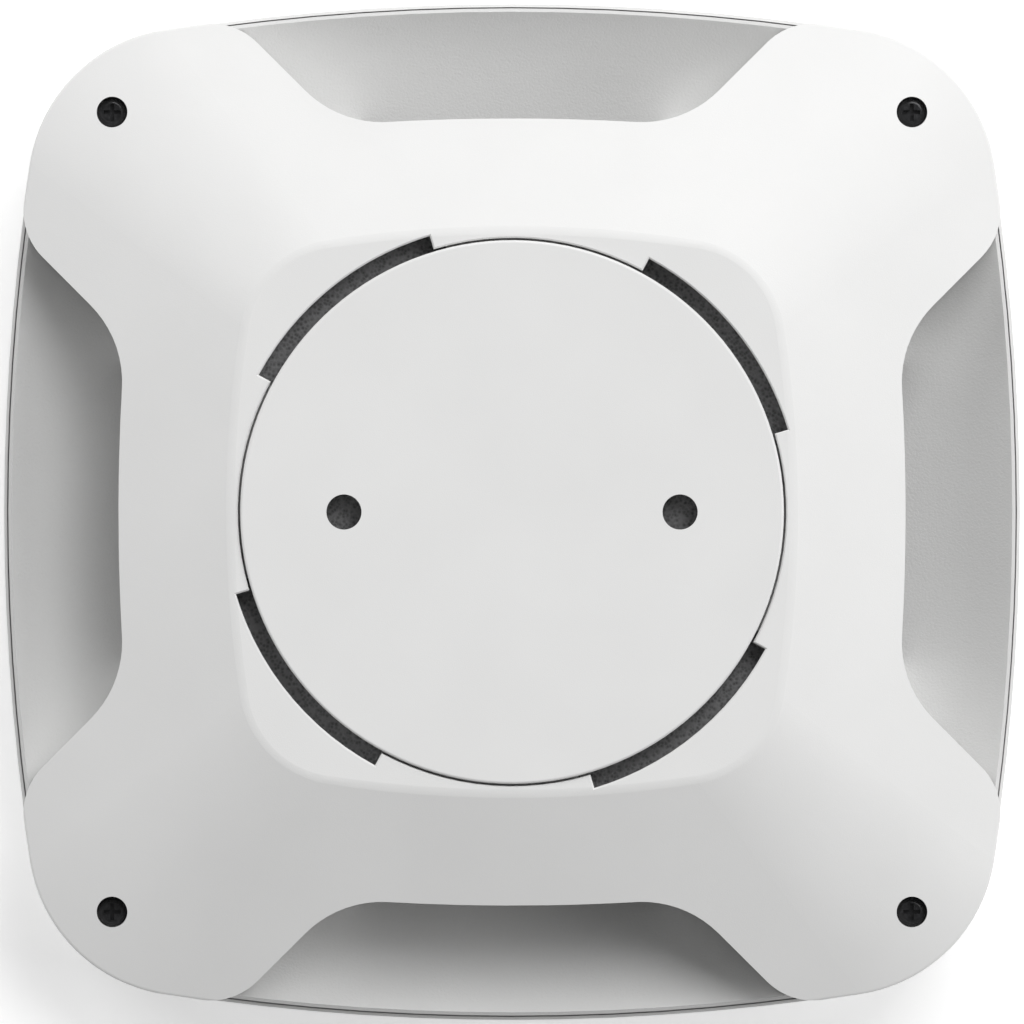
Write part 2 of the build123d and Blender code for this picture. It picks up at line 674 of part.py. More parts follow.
# ---------------------------------------------------------------- corner screws
with BuildPart() as corner_screws:
    with BuildSketch(Plane.XY.offset(HEAD_SEAT_Z)):
        with GridLocations(CORNER_PITCH, CORNER_PITCH, 2, 2):
            Circle(HEAD_R)
    extrude(amount=HEAD_TOP_Z - HEAD_SEAT_Z)
    fillet(corner_screws.edges().group_by(Axis.Z)[-1], HEAD_EDGE_R)
    with BuildSketch(Plane.XY.offset(SHANK_END_Z)):
        with GridLocations(CORNER_PITCH, CORNER_PITCH, 2, 2):
            Circle(SHANK_R)
    extrude(amount=HEAD_SEAT_Z - SHANK_END_Z)
    chamfer(corner_screws.edges().group_by(Axis.Z)[0], SHANK_TIP)
    # cross recess
    with BuildSketch(Plane.XY.offset(HEAD_TOP_Z)):
        with GridLocations(CORNER_PITCH, CORNER_PITCH, 2, 2):
            Rectangle(CROSS_LENGTH, CROSS_WIDTH)
            Rectangle(CROSS_WIDTH, CROSS_LENGTH)
    extrude(amount=-CROSS_DEPTH, mode=Mode.SUBTRACT)
corner_screws.part.label = "corner_screws"
export_step(corner_screws.part, "parts/corner_screws.step")

# ---------------------------------------------------------------- main board and its parts
with BuildPart() as main_board:
    with BuildSketch(Plane.XY.offset(BOARD_UNDER_Z)):
        add(squircle(*BOARD))
        with PolarLocations(LEG_CUT_D, 2, start_angle=LEG_ANGLE):
            Rectangle(LEG_CUT_DEPTH, LEG_CUT_WIDTH, mode=Mode.SUBTRACT)
        with PolarLocations(BOARD_SCREW_R, 4):
            Circle(BOARD_HOLE_R, mode=Mode.SUBTRACT)
    extrude(amount=BOARD_TOP_Z - BOARD_UNDER_Z)
main_board.part.label = "main_board"
export_step(main_board.part, "parts/main_board.step")

with BuildPart() as board_screws:
    with BuildSketch(Plane.XY.offset(BOARD_HEAD_TOP_Z)):
        with PolarLocations(BOARD_SCREW_R, 4):
            Circle(BOARD_HEAD_R)
    extrude(amount=BOARD_UNDER_Z - BOARD_HEAD_TOP_Z)
    with BuildSketch(Plane.XY.offset(BOARD_UNDER_Z)):
        with PolarLocations(BOARD_SCREW_R, 4):
            Circle(BOARD_SHANK_R)
    extrude(amount=BOARD_SHANK_L)
    with BuildSketch(Plane.XY.offset(BOARD_HEAD_TOP_Z)):
        with PolarLocations(BOARD_SCREW_R, 4):
            Rectangle(BOARD_CROSS_LENGTH, CROSS_WIDTH)
            Rectangle(CROSS_WIDTH, BOARD_CROSS_LENGTH)
    extrude(amount=BOARD_CROSS_DEPTH, mode=Mode.SUBTRACT)
board_screws.part.label = "board_screws"
export_step(board_screws.part, "parts/board_screws.step")

with BuildPart() as air_deck:
    with BuildSketch(Plane.XY.offset(DECK_UNDER_Z)):
        add(squircle(BODY[0] - DECK_INSET, BODY[1] - WALL, BODY[2]))
        with PolarLocations(LEG_CUT_D, 4, start_angle=LEG_ANGLE):
            Rectangle(LEG_CUT_DEPTH, LEG_CUT_WIDTH, mode=Mode.SUBTRACT)
        for angle in OPTIC_ANGLES:
            with PolarLocations(LEAD_CIRCLE, 1, start_angle=angle):
                Rectangle(*LEAD_SLOT, mode=Mode.SUBTRACT)
        with Locations(THERMISTOR_PLACE):
            Circle(BEAD_HOLE_R, mode=Mode.SUBTRACT)
        with PolarLocations(LINK_D, 1, start_angle=RADIO_ANGLE):
            Rectangle(*LINK_SLOT, mode=Mode.SUBTRACT)
    extrude(amount=DECK_TOP_Z - DECK_UNDER_Z)
air_deck.part.label = "air_deck"
export_step(air_deck.part, "parts/air_deck.step")

with BuildPart() as microcontroller:
    with BuildSketch(Plane.XY.offset(BOARD_TOP_Z)):
        with Locations(MCU_PLACE):
            Rectangle(MCU_SIZE, MCU_SIZE)
    extrude(amount=MCU_T)
    chamfer(microcontroller.edges().group_by(Axis.Z)[-1], 2 * FIT)
    with BuildSketch(Plane.XY.offset(BOARD_TOP_Z)):
        with Locations(MCU_PLACE):
            with GridLocations(MCU_PIN_PITCH, MCU_PIN_SPAN, MCU_PIN_COUNT, 2):
                Rectangle(MCU_PIN_W, MCU_PIN_SPAN - MCU_SIZE)
            with GridLocations(MCU_PIN_SPAN, MCU_PIN_PITCH, 2, MCU_PIN_COUNT):
                Rectangle(MCU_PIN_SPAN - MCU_SIZE, MCU_PIN_W)
    extrude(amount=MCU_PIN_T)
microcontroller.part.label = "microcontroller"
export_step(microcontroller.part, "parts/microcontroller.step")

with BuildPart() as capacitors:
    with BuildSketch(Plane.XY.offset(BOARD_UNDER_Z)):
        with PolarLocations(CAPACITOR_D, 1, start_angle=RADIO_ANGLE):
            with GridLocations(0, CAPACITOR_SPACING, 1, 2):
                Circle(CAPACITOR_R)
    extrude(amount=-CAPACITOR_L)
    fillet(capacitors.edges().group_by(Axis.Z)[0], CAPACITOR_EDGE_R)
capacitors.part.label = "capacitors"
export_step(capacitors.part, "parts/capacitors.step")

with BuildPart() as radio_module:
    with BuildSketch(Plane.XY.offset(BOARD_UNDER_Z - RADIO_BOARD_T)):
        with PolarLocations(RADIO_D, 1, start_angle=RADIO_ANGLE):
            Rectangle(*RADIO_BOARD)
    extrude(amount=RADIO_BOARD_T)
    with BuildSketch(Plane.XY.offset(BOARD_UNDER_Z - RADIO_BOARD_T)):
        with PolarLocations(RADIO_D, 1, start_angle=RADIO_ANGLE):
            Rectangle(*RADIO_CAN)
    extrude(amount=-RADIO_CAN_T)
radio_module.part.label = "radio_module"
export_step(radio_module.part, "parts/radio_module.step")

with BuildPart() as antenna:
    antenna_plane = Plane(
        Vector(ANTENNA_D, 0, BOARD_UNDER_Z - ANTENNA_DROP).rotate(Axis.Z, RADIO_ANGLE),
        x_dir=(0, 0, 1),
        z_dir=Vector(0, 1, 0).rotate(Axis.Z, RADIO_ANGLE),
    )
    with BuildSketch(antenna_plane.offset(-ANTENNA_L / 2)):
        Circle(ANTENNA_R)
        Circle(ANTENNA_BORE_R, mode=Mode.SUBTRACT)
    extrude(amount=ANTENNA_L)
antenna.part.label = "antenna"
export_step(antenna.part, "parts/antenna.step")

# ---------------------------------------------------------------- backup cell
with BuildPart() as cell_holder:
    with BuildSketch(Plane.XY.offset(BOARD_UNDER_Z - HOLDER_T)):
        with PolarLocations(CELL_D, 1, start_angle=SOUNDER_ANGLE):
            Circle(HOLDER_R)
            Circle(HOLDER_BORE_R, mode=Mode.SUBTRACT)
    extrude(amount=HOLDER_T)
    with BuildSketch(Plane.XY.offset(BOARD_UNDER_Z - HOLDER_FLOOR_T)):
        with PolarLocations(CELL_D, 1, start_angle=SOUNDER_ANGLE):
            Circle(HOLDER_R)
    extrude(amount=HOLDER_FLOOR_T)
cell_holder.part.label = "cell_holder"
export_step(cell_holder.part, "parts/cell_holder.step")

with BuildPart() as backup_cell:
    with BuildSketch(Plane.XY.offset(BOARD_UNDER_Z - CELL_TOP_DROP - CELL_T)):
        with PolarLocations(CELL_D, 1, start_angle=SOUNDER_ANGLE):
            Circle(CELL_R)
    extrude(amount=CELL_T)
    fillet(backup_cell.edges().group_by(Axis.Z)[0], CELL_EDGE_R)
backup_cell.part.label = "backup_cell"
export_step(backup_cell.part, "parts/backup_cell.step")

# ---------------------------------------------------------------- batteries and contacts
for battery_name, angle in zip(("battery_a", "battery_b"), BATTERY_ANGLES):
    battery_plane = Plane(
        Vector(BATTERY_D, 0, BATTERY_Z).rotate(Axis.Z, angle),
        x_dir=(0, 0, 1),
        z_dir=Vector(0, 1, 0).rotate(Axis.Z, angle),
    )
    with BuildPart() as battery:
        with BuildSketch(battery_plane.offset(-BATTERY_L / 2)):
            Circle(BATTERY_R)
        extrude(amount=BATTERY_L - TERMINAL_L)
        fillet(battery.edges().filter_by(GeomType.CIRCLE), BATTERY_EDGE_R)
        with BuildSketch(battery_plane.offset(BATTERY_L / 2 - TERMINAL_L)):
            Circle(TERMINAL_R)
        extrude(amount=TERMINAL_L)
    battery.part.label = battery_name
    export_step(battery.part, f"parts/{battery_name}.step")

# Each contact is a plate at the end of a bay, with a strip over the bay wall and a tail that
# rises to the board
with BuildPart() as battery_contacts:
    for angle in BATTERY_ANGLES:
        leg = Vector(1, 0).rotate(Axis.Z, angle)
        for side in (-1, 1):
            contact_plane = Plane(
                Vector(0, side * CONTACT_OFFSET, 0).rotate(Axis.Z, angle),
                x_dir=leg,
                z_dir=leg.cross(Vector(0, 0, 1)),
            )
            with BuildSketch(contact_plane):
                with Locations((BATTERY_D, PLATE_Z)):
                    Rectangle(*PLATE_SIZE)
                with Locations(STRIP_PLACE):
                    Rectangle(*STRIP_SIZE)
                with Locations(TAIL_PLACE):
                    Rectangle(*TAIL_SIZE)
            extrude(amount=CONTACT_T / 2, both=True)
battery_contacts.part.label = "battery_contacts"
export_step(battery_contacts.part, "parts/battery_contacts.step")

with BuildPart() as contact_springs:
    for angle in BATTERY_ANGLES:
        foot = Vector(BATTERY_D, -BATTERY_L / 2 - SPRING_FOOT, BATTERY_Z).rotate(Axis.Z, angle)
        along = Vector(0, 1, 0).rotate(Axis.Z, angle)
        with BuildLine() as coil:
            Helix(SPRING_PITCH, SPRING_L, SPRING_R, foot, along)
        with BuildSketch(Plane(coil.line @ 0, z_dir=coil.line % 0)):
            Circle(SPRING_WIRE_R)
        sweep(path=coil.line, is_frenet=True)
contact_springs.part.label = "contact_springs"
export_step(contact_springs.part, "parts/contact_springs.step")

# ---------------------------------------------------------------- smoke chamber
with BuildPart() as chamber_base:
    with BuildSketch(Plane.XY.offset(CHAMBER_PLATE_Z)):
        Circle(CHAMBER_R)
    extrude(amount=CHAMBER_TOP_Z - CHAMBER_PLATE_Z)
    # bent vanes let smoke through and keep light out, except where the optics stand
    with BuildSketch(Plane.XY.offset(VANE_FOOT_Z)):
        for angle in range(0, 360, VANE_STEP):
            turns = [abs((angle - optic_angle + 180) % 360 - 180) for optic_angle in OPTIC_ANGLES]
            if min(turns) > VANE_STEP:
                for radius, turn in zip(VANE_RADII, (VANE_TURN, -VANE_TURN)):
                    with PolarLocations(radius, 1, start_angle=angle):
                        Rectangle(VANE_LENGTH, VANE_T, rotation=turn)
    extrude(amount=CHAMBER_PLATE_Z - VANE_FOOT_Z)
    for angle in OPTIC_ANGLES:
        with BuildSketch(Plane.XY.offset(VANE_FOOT_Z)):
            with PolarLocations(OPTIC_R, 1, start_angle=angle):
                Rectangle(*OPTIC_BLOCK)
        extrude(amount=CHAMBER_PLATE_Z - VANE_FOOT_Z)
        outward = Vector(1, 0).rotate(Axis.Z, angle)
        with BuildSketch(Plane(outward * OPTIC_R / 2 + Vector(0, 0, OPTIC_Z), z_dir=outward)):
            Circle(OPTIC_BORE_R)
        extrude(amount=OPTIC_R, mode=Mode.SUBTRACT)
chamber_base.part.label = "chamber_base"
export_step(chamber_base.part, "parts/chamber_base.step")

with BuildPart() as chamber_cap:
    with BuildSketch(Plane.XY.offset(DISH_FLOOR_Z)):
        Circle(CHAMBER_R)
    extrude(amount=VANE_FOOT_Z - DISH_FLOOR_Z)
    chamfer(chamber_cap.edges().group_by(Axis.Z)[-1], CAP_CHAMFER)
chamber_cap.part.label = "chamber_cap"
export_step(chamber_cap.part, "parts/chamber_cap.step")

with BuildPart() as insect_mesh:
    with BuildSketch(Plane.XY.offset(DISH_FLOOR_Z)):
        Circle(MESH_R)
        Circle(MESH_R - MESH_T, mode=Mode.SUBTRACT)
    extrude(amount=CHAMBER_TOP_Z - DISH_FLOOR_Z)
    with BuildSketch(Plane.XY.offset(DISH_FLOOR_Z + MESH_EDGE)):
        with PolarLocations(MESH_R, MESH_COUNT):
            Rectangle(4 * MESH_T, MESH_GAP)
    extrude(amount=CHAMBER_TOP_Z - DISH_FLOOR_Z - 2 * MESH_EDGE, mode=Mode.SUBTRACT)
insect_mesh.part.label = "insect_mesh"
export_step(insect_mesh.part, "parts/insect_mesh.step")

# Lamp-shaped bodies in the bores, with two leads each that rise outside the chamber
for optic_name, angle in zip(("infrared_emitter", "photodiode"), OPTIC_ANGLES):
    outward = Vector(1, 0).rotate(Axis.Z, angle)
    with BuildPart() as optic:
        with BuildSketch(Plane(outward * OPTIC_TIP_D + Vector(0, 0, OPTIC_Z), z_dir=outward)):
            Circle(OPTIC_BODY_R)
        extrude(amount=OPTIC_FLANGE_D - OPTIC_TIP_D)
        tip = optic.faces().filter_by(GeomType.PLANE).sort_by(lambda face: face.center().length)[0]
        fillet(tip.edges(), 0.8 * OPTIC_BODY_R)
        with BuildSketch(Plane(outward * OPTIC_FLANGE_D + Vector(0, 0, OPTIC_Z), z_dir=outward)):
            Circle(OPTIC_FLANGE_R)
        extrude(amount=OPTIC_FLANGE_T)
        with BuildSketch(Plane.XY.offset(OPTIC_Z)):
            with PolarLocations(LEAD_CIRCLE, 1, start_angle=angle):
                with GridLocations(0, LEAD_PITCH, 1, 2):
                    Rectangle(LEAD_SIZE, LEAD_SIZE)
        extrude(amount=BOARD_UNDER_Z - OPTIC_Z)
    optic.part.label = optic_name
    export_step(optic.part, f"parts/{optic_name}.step")

# ---------------------------------------------------------------- thermistor
with BuildPart() as thermistor:
    with Locations((*THERMISTOR_PLACE, THERMISTOR_Z)):
        Sphere(BEAD_R)
    with BuildSketch(Plane.XY.offset(THERMISTOR_Z)):
        with Locations(THERMISTOR_PLACE):
            with GridLocations(0, BEAD_LEAD_PITCH, 1, 2):
                Circle(BEAD_LEAD_R)
    extrude(amount=BOARD_UNDER_Z - THERMISTOR_Z)
thermistor.part.label = "thermistor"
export_step(thermistor.part, "parts/thermistor.step")

# ---------------------------------------------------------------- sounder
with BuildPart() as sounder_housing:
    with BuildSketch(Plane.XY.offset(SOUNDER_UNDER_Z)):
        with Locations(SOUNDER_CENTRE):
            Circle(SOUNDER_R)
    extrude(amount=SOUNDER_TOP_Z - SOUNDER_UNDER_Z)
    with BuildSketch(Plane.XY.offset(SOUNDER_FLANGE_Z)):
        with Locations(SOUNDER_CENTRE):
            Circle(SOUNDER_R + SOUNDER_FLANGE_W)
    extrude(amount=SOUNDER_FLANGE_T)
    # resonator under the disc, a ledge for the disc, the port
    with BuildSketch(Plane.XY.offset(SOUNDER_UNDER_Z + SOUNDER_FLOOR_T)):
        with Locations(SOUNDER_CENTRE):
            Circle(RESONATOR_R)
    extrude(amount=SOUNDER_TOP_Z - SOUNDER_UNDER_Z, mode=Mode.SUBTRACT)
    with BuildSketch(Plane.XY.offset(LEDGE_Z)):
        with Locations(SOUNDER_CENTRE):
            Circle(LEDGE_R)
    extrude(amount=SOUNDER_TOP_Z - LEDGE_Z, mode=Mode.SUBTRACT)
    with BuildSketch(Plane.XY.offset(SOUNDER_UNDER_Z)):
        with Locations(SOUNDER_CENTRE):
            Circle(PORT_R)
    extrude(amount=SOUNDER_FLOOR_T, mode=Mode.SUBTRACT)
sounder_housing.part.label = "sounder_housing"
export_step(sounder_housing.part, "parts/sounder_housing.step")

with BuildPart() as piezo_disc:
    with BuildSketch(Plane.XY.offset(LEDGE_Z)):
        with Locations(SOUNDER_CENTRE):
            Circle(DISC_R)
    extrude(amount=DISC_T)
    with BuildSketch(Plane.XY.offset(LEDGE_Z + DISC_T)):
        with Locations(SOUNDER_CENTRE):
            Circle(CERAMIC_R)
    extrude(amount=CERAMIC_T)
piezo_disc.part.label = "piezo_disc"
export_step(piezo_disc.part, "parts/piezo_disc.step")

with BuildPart() as sounder_gasket:
    with BuildSketch(Plane.XY.offset(SOUNDER_UNDER_Z)):
        with Locations(SOUNDER_CENTRE):
            Circle(GASKET_R)
            Circle(GASKET_BORE_R, mode=Mode.SUBTRACT)
    extrude(amount=-GASKET_T)
sounder_gasket.part.label = "sounder_gasket"
export_step(sounder_gasket.part, "parts/sounder_gasket.step")

# ---------------------------------------------------------------- link between the boards
with BuildPart() as link_header:
    with BuildSketch(Plane.XY.offset(BOARD_UNDER_Z - HEADER_T)):
        with PolarLocations(LINK_D, 1, start_angle=RADIO_ANGLE):
            Rectangle(HEADER_W, LINK_LENGTH)
            with GridLocations(0, PIN_PITCH, 1, PIN_COUNT):
                Rectangle(PIN_HOLE, PIN_HOLE, mode=Mode.SUBTRACT)
    extrude(amount=HEADER_T)
link_header.part.label = "link_header"
export_step(link_header.part, "parts/link_header.step")

with BuildPart() as link_pins:
    with BuildSketch(Plane.XY.offset(FRONT_BOARD_TOP_Z)):
        with PolarLocations(LINK_D, 1, start_angle=RADIO_ANGLE):
            with GridLocations(0, PIN_PITCH, 1, PIN_COUNT):
                Rectangle(PIN_SIZE, PIN_SIZE)
    extrude(amount=BOARD_UNDER_Z - FRONT_BOARD_TOP_Z)
link_pins.part.label = "link_pins"
export_step(link_pins.part, "parts/link_pins.step")

# ---------------------------------------------------------------- front board and test switch
with BuildPart() as front_board:
    with BuildSketch(Plane.XY.offset(FRONT_BOARD_UNDER_Z)):
        Circle(FRONT_BOARD_R)
        with PolarLocations(TONGUE_D, 1, start_angle=RADIO_ANGLE):
            Rectangle(*TONGUE)
        with PolarLocations(PEG_CIRCLE, 4, start_angle=LEG_ANGLE):
            Circle(PEG_R + FIT, mode=Mode.SUBTRACT)
    extrude(amount=FRONT_BOARD_TOP_Z - FRONT_BOARD_UNDER_Z)
front_board.part.label = "front_board"
export_step(front_board.part, "parts/front_board.step")

with BuildPart() as status_leds:
    with BuildSketch(Plane.XY.offset(FRONT_BOARD_UNDER_Z)):
        with PolarLocations(LED_CIRCLE, 4):
            Rectangle(*LED_SIZE)
    extrude(amount=-LED_T)
status_leds.part.label = "status_leds"
export_step(status_leds.part, "parts/status_leds.step")

with BuildPart() as test_switch_body:
    with BuildSketch(Plane.XY.offset(FRONT_BOARD_UNDER_Z - TEST_SWITCH_T)):
        Rectangle(SWITCH_SIZE, SWITCH_SIZE)
    extrude(amount=TEST_SWITCH_T)
    with BuildSketch(Plane.XY.offset(FRONT_BOARD_UNDER_Z - TEST_SWITCH_T)):
        Circle(TEST_SWITCH_BORE_R)
    extrude(amount=1.0, mode=Mode.SUBTRACT)
test_switch_body.part.label = "test_switch_body"
export_step(test_switch_body.part, "parts/test_switch_body.step")

with BuildPart() as test_switch_plunger:
    with BuildSketch(Plane.XY.offset(PLUNGER_FOOT_Z)):
        Circle(PLUNGER_R)
    extrude(amount=1.0)
test_switch_plunger.part.label = "test_switch_plunger"
export_step(test_switch_plunger.part, "parts/test_switch_plunger.step")

# The button's face and the light ring round it follow the dome of the front cover
with BuildPart() as test_button:
    with BuildSketch(Plane.XY.offset(-DEPTH)):
        Circle(BUTTON_R)
    extrude(amount=BUTTON_TOP_Z + DEPTH)
    with BuildSketch(Plane.XY.offset(BUTTON_FLANGE_Z)):
        Circle(BUTTON_FLANGE_R)
    extrude(amount=BUTTON_TOP_Z - BUTTON_FLANGE_Z)
    with BuildSketch(Plane.XY.offset(BUTTON_BORE_Z)):
        Circle(BUTTON_BORE_R)
    extrude(amount=BUTTON_TOP_Z - BUTTON_BORE_Z, mode=Mode.SUBTRACT)
    with BuildSketch(Plane.XY.offset(NUB_FOOT_Z)):
        Circle(NUB_R)
    extrude(amount=PLUNGER_FOOT_Z - NUB_FOOT_Z)
    with Locations((0, 0, DOME_R - DEPTH)):
        Sphere(DOME_R, mode=Mode.INTERSECT)
    face_rim = test_button.faces().sort_by(Axis.Z)[0].edges()
    fillet(face_rim.filter_by(lambda edge: from_centre(edge @ 0) > BUTTON_R - FIT), BUTTON_EDGE_R)
test_button.part.label = "test_button"
export_step(test_button.part, "parts/test_button.step")

with BuildPart() as light_ring:
    with BuildSketch(Plane.XY.offset(-DEPTH)):
        Circle(LIGHT_RING_OUTER_R)
    extrude(amount=LIGHT_RING_TOP_Z + DEPTH)
    with BuildSketch(Plane.XY.offset(LIGHT_FLANGE_Z)):
        Circle(LIGHT_FLANGE_R)
    extrude(amount=LIGHT_FLANGE_T)
    with BuildSketch(Plane.XY.offset(-DEPTH)):
        Circle(LIGHT_RING_INNER_R)
    extrude(amount=DEPTH, mode=Mode.SUBTRACT)
    with Locations((0, 0, DOME_R - DEPTH)):
        Sphere(DOME_R, mode=Mode.INTERSECT)
light_ring.part.label = "light_ring"
export_step(light_ring.part, "parts/light_ring.step")

# ---------------------------------------------------------------- controls in the recess
for switch_name, place_y in (("tamper_switch_body", CONTROL_Y), ("power_switch_body", -CONTROL_Y)):
    with BuildPart() as switch_body:
        with BuildSketch(Plane.XY.offset(BOARD_TOP_Z)):
            with Locations((0, place_y)):
                Rectangle(SWITCH_SIZE, SWITCH_SIZE)
        extrude(amount=CONTROL_SWITCH_T)
        with BuildSketch(Plane.XY.offset(BOARD_TOP_Z + CONTROL_BORE_FLOOR)):
            with Locations((0, place_y)):
                Circle(CONTROL_BORE_R)
        extrude(amount=1, mode=Mode.SUBTRACT)
    switch_body.part.label = switch_name
    export_step(switch_body.part, f"parts/{switch_name}.step")

with BuildPart() as tamper_plunger:
    with BuildSketch(Plane.XY.offset(TAMPER_TOP_Z)):
        with Locations((0, CONTROL_Y)):
            Circle(TAMPER_HEAD_R)
    extrude(amount=-TAMPER_HEAD_T)
    fillet(tamper_plunger.edges().group_by(Axis.Z)[-1], TAMPER_HEAD_T / 2)
    with BuildSketch(Plane.XY.offset(TAMPER_TOP_Z - TAMPER_HEAD_T)):
        with Locations((0, CONTROL_Y)):
            Circle(STEM_R)
    extrude(amount=-TAMPER_STEM_L)
tamper_plunger.part.label = "tamper_plunger"
export_step(tamper_plunger.part, "parts/tamper_plunger.step")

with BuildPart() as tamper_spring:
    with BuildLine(Plane((0, CONTROL_Y, RECESS_FLOOR_Z + TAMPER_SPRING_LIFT))) as coil:
        Helix(TAMPER_SPRING_PITCH, TAMPER_SPRING_L, TAMPER_SPRING_R)
    with BuildSketch(Plane(coil.line @ 0, z_dir=coil.line % 0)):
        Circle(TAMPER_WIRE_R)
    sweep(path=coil.line, is_frenet=True)
tamper_spring.part.label = "tamper_spring"
export_step(tamper_spring.part, "parts/tamper_spring.step")

with BuildPart() as power_button:
    with BuildSketch(Plane.XY.offset(POWER_UNDER_Z)):
        with Locations((0, -CONTROL_Y)):
            Circle(POWER_CAP_R)
    extrude(amount=POWER_CAP_L)
    fillet(power_button.edges().group_by(Axis.Z)[-1], POWER_EDGE_R)
    with BuildSketch(Plane.XY.offset(POWER_UNDER_Z)):
        with Locations((0, -CONTROL_Y)):
            Circle(POWER_FLANGE_R)
    extrude(amount=-POWER_FLANGE_T)
    with BuildSketch(Plane.XY.offset(POWER_UNDER_Z - POWER_FLANGE_T)):
        with Locations((0, -CONTROL_Y)):
            Circle(STEM_R)
    extrude(amount=-POWER_STEM_L)
power_button.part.label = "power_button"
export_step(power_button.part, "parts/power_button.step")
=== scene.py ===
import json
import math

import bpy
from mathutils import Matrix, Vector


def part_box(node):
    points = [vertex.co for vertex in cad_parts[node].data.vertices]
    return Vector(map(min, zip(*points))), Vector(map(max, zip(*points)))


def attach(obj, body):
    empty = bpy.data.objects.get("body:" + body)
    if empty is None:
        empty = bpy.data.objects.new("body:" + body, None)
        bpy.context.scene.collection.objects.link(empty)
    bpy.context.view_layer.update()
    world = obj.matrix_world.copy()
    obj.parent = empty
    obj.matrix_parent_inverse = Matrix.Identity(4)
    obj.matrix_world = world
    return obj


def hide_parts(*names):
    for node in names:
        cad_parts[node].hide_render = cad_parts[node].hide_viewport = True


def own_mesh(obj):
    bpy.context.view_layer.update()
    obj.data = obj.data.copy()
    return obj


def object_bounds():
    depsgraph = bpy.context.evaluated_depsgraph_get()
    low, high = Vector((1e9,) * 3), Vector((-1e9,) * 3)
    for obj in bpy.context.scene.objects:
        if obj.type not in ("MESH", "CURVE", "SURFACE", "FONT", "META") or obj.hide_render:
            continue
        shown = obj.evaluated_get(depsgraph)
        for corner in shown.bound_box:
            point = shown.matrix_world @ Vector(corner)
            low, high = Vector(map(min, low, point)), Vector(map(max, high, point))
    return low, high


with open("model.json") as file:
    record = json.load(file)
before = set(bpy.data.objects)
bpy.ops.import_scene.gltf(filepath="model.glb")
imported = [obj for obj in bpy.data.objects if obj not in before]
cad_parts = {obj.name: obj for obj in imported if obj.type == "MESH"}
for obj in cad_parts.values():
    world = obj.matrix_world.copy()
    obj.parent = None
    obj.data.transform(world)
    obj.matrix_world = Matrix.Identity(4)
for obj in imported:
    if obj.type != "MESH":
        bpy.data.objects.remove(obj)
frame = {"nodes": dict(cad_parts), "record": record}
cad_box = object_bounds()


# ---------------------------------------------------------------- materials
class Surface:
    """A Principled material whose colour, roughness and relief come from procedural nodes."""

    def __init__(self, name, metallic=0.0, ior=1.5, coat=0.0, transmission=0.0):
        self.material = bpy.data.materials.new(name)
        self.material.use_nodes = True
        self.nodes = self.material.node_tree.nodes
        self.links = self.material.node_tree.links
        self.shader = self.nodes["Principled BSDF"]
        self.shader.inputs["Metallic"].default_value = metallic
        self.shader.inputs["IOR"].default_value = ior
        self.shader.inputs["Coat Weight"].default_value = coat
        self.shader.inputs["Transmission Weight"].default_value = transmission
        self.place = self.nodes.new("ShaderNodeTexCoord").outputs["Object"]
        self.relief = None

    def stretched(self, scale):
        """Object coordinates scaled differently along each axis."""
        mapping = self.nodes.new("ShaderNodeMapping")
        mapping.inputs["Scale"].default_value = scale
        self.links.new(self.place, mapping.inputs["Vector"])
        return mapping.outputs["Vector"]

    def noise(self, size_mm, detail=2.0, rough=0.5, vector=None):
        """A noise pattern whose grains are about size_mm across."""
        node = self.nodes.new("ShaderNodeTexNoise")
        node.inputs["Scale"].default_value = 1000.0 / size_mm
        node.inputs["Detail"].default_value = detail
        node.inputs["Roughness"].default_value = rough
        self.links.new(vector or self.place, node.inputs["Vector"])
        return node.outputs["Fac"]

    def cells(self, size_mm):
        """A pattern of rounded cells about size_mm across."""
        node = self.nodes.new("ShaderNodeTexVoronoi")
        node.inputs["Scale"].default_value = 1000.0 / size_mm
        self.links.new(self.place, node.inputs["Vector"])
        return node.outputs["Distance"]

    def ramp(self, factor, low, high, start=0.3, end=0.7):
        """A colour that goes from low to high as factor goes from start to end."""
        node = self.nodes.new("ShaderNodeValToRGB")
        node.color_ramp.elements[0].position = start
        node.color_ramp.elements[1].position = end
        node.color_ramp.elements[0].color = (*low, 1)
        node.color_ramp.elements[1].color = (*high, 1)
        self.links.new(factor, node.inputs["Fac"])
        return node.outputs["Color"]

    def span(self, factor, low, high):
        """A number that goes from low to high with factor."""
        node = self.nodes.new("ShaderNodeMapRange")
        node.inputs["From Min"].default_value = 0.25
        node.inputs["From Max"].default_value = 0.75
        node.inputs["To Min"].default_value = low
        node.inputs["To Max"].default_value = high
        self.links.new(factor, node.inputs["Value"])
        return node.outputs["Result"]

    def colour(self, socket):
        """Takes the base colour from a socket."""
        self.links.new(socket, self.shader.inputs["Base Color"])

    def roughness(self, factor, low, high):
        """Makes the roughness go from low to high with factor."""
        self.links.new(self.span(factor, low, high), self.shader.inputs["Roughness"])

    def bump(self, height, depth_mm):
        """Adds a layer of relief on top of the layers before it."""
        node = self.nodes.new("ShaderNodeBump")
        node.inputs["Distance"].default_value = depth_mm / 1000.0
        self.links.new(height, node.inputs["Height"])
        if self.relief is not None:
            self.links.new(self.relief, node.inputs["Normal"])
        self.relief = node.outputs["Normal"]
        self.links.new(self.relief, self.shader.inputs["Normal"])


